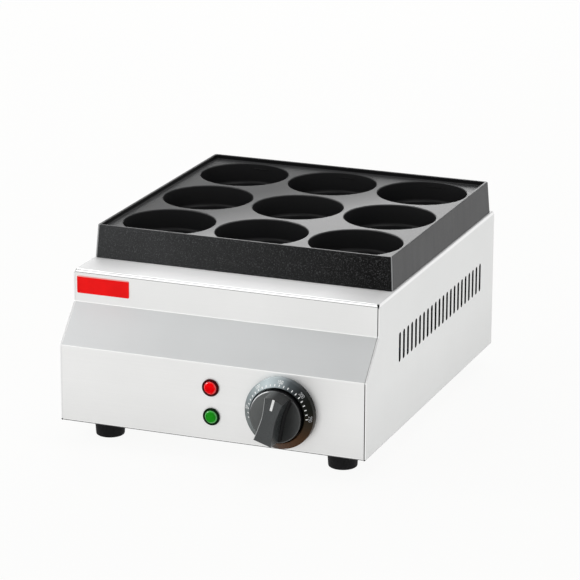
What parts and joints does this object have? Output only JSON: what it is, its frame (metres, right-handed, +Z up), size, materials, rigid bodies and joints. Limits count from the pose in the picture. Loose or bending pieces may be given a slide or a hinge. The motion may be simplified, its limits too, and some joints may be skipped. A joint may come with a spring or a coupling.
{
  "type": "countertop egg burger griddle",
  "caption": "Countertop electric griddle: square cast plate with round cups for egg burgers on a low folded-steel housing with a thermostat knob, dial, indicator lamps and rubber feet.",
  "frame": {"origin": "middle of the bounding box's footprint, at the underside of the feet", "axes": "X to the right seen from the front, Y from the control panel to the back, Z up"},
  "size_m": [0.36, 0.5006, 0.2265],
  "materials": {
    "stainless": "satin folded sheet",
    "cast_plate": "casting with a dark satin non-stick coat",
    "element_sheath": "heat-darkened tube",
    "zinc": "zinc plated",
    "insulation": "fibre blanket",
    "rubber": "matte black",
    "knob_plastic": "satin moulding",
    "pointer_white": "white inlay",
    "dial_metal": "dark metallic",
    "black_plastic": "moulded black",
    "lens_red": "clear red",
    "lens_green": "clear green",
    "copper": "drawn copper",
    "block_plastic": "cream thermoset",
    "brass": "turned brass",
    "wire_red": "red sleeved wire",
    "wire_blue": "blue sleeved wire"
  },
  "bodies": {
    "housing": {"housing_shell": "stainless", "back_panel": "stainless", "base_plate": "stainless", "griddle_plate": "cast_plate", "heating_element_front": "element_sheath", "heating_element_middle": "element_sheath", "heating_element_rear": "element_sheath", "clamp_bar_left": "zinc", "clamp_bar_right": "zinc", "clamp_stud_front_left": "zinc", "clamp_stud_front_right": "zinc", "clamp_stud_rear_left": "zinc", "clamp_stud_rear_right": "zinc", "clamp_nut_front_left": "zinc", "clamp_nut_front_right": "zinc", "clamp_nut_rear_left": "zinc", "clamp_nut_rear_right": "zinc", "heat_shield": "zinc", "support_rail_left": "zinc", "support_rail_right": "zinc", "foot_bolt_front_left": "zinc", "foot_bolt_front_right": "zinc", "foot_bolt_rear_left": "zinc", "foot_bolt_rear_right": "zinc", "foot_nut_front_left": "zinc", "foot_nut_front_right": "zinc", "foot_nut_rear_left": "zinc", "foot_nut_rear_right": "zinc", "sensor_clip": "zinc", "thermostat_screw_left": "zinc", "thermostat_screw_right": "zinc", "insulation_pad": "insulation", "foot_front_left": "rubber", "foot_front_right": "rubber", "foot_rear_left": "rubber", "foot_rear_right": "rubber", "dial_plate": "dial_metal", "thermostat_body": "black_plastic", "lamp_nut_red": "black_plastic", "lamp_nut_green": "black_plastic", "gland_body": "black_plastic", "gland_cap": "black_plastic", "gland_nut": "black_plastic", "lamp_lens_red": "lens_red", "lamp_lens_green": "lens_green", "sensor_bulb": "copper", "capillary_tube": "copper", "terminal_block": "block_plastic", "bonding_stud": "brass", "bonding_nut": "brass", "wire_live": "wire_red", "wire_load": "wire_red", "wire_link_front": "wire_red", "wire_link_rear": "wire_red", "wire_neutral": "wire_blue"},
    "knob": {"thermostat_knob": "knob_plastic", "knob_pointer": "pointer_white", "thermostat_shaft": "zinc"}
  },
  "joints": [
    {"name": "knob_turn", "type": "hinge", "parent": "housing", "child": "knob", "pos_m": [0.0835, -0.20775, 0.0682], "axis": [0, 1, 0], "range_deg": [-120, 80]}
  ]
}
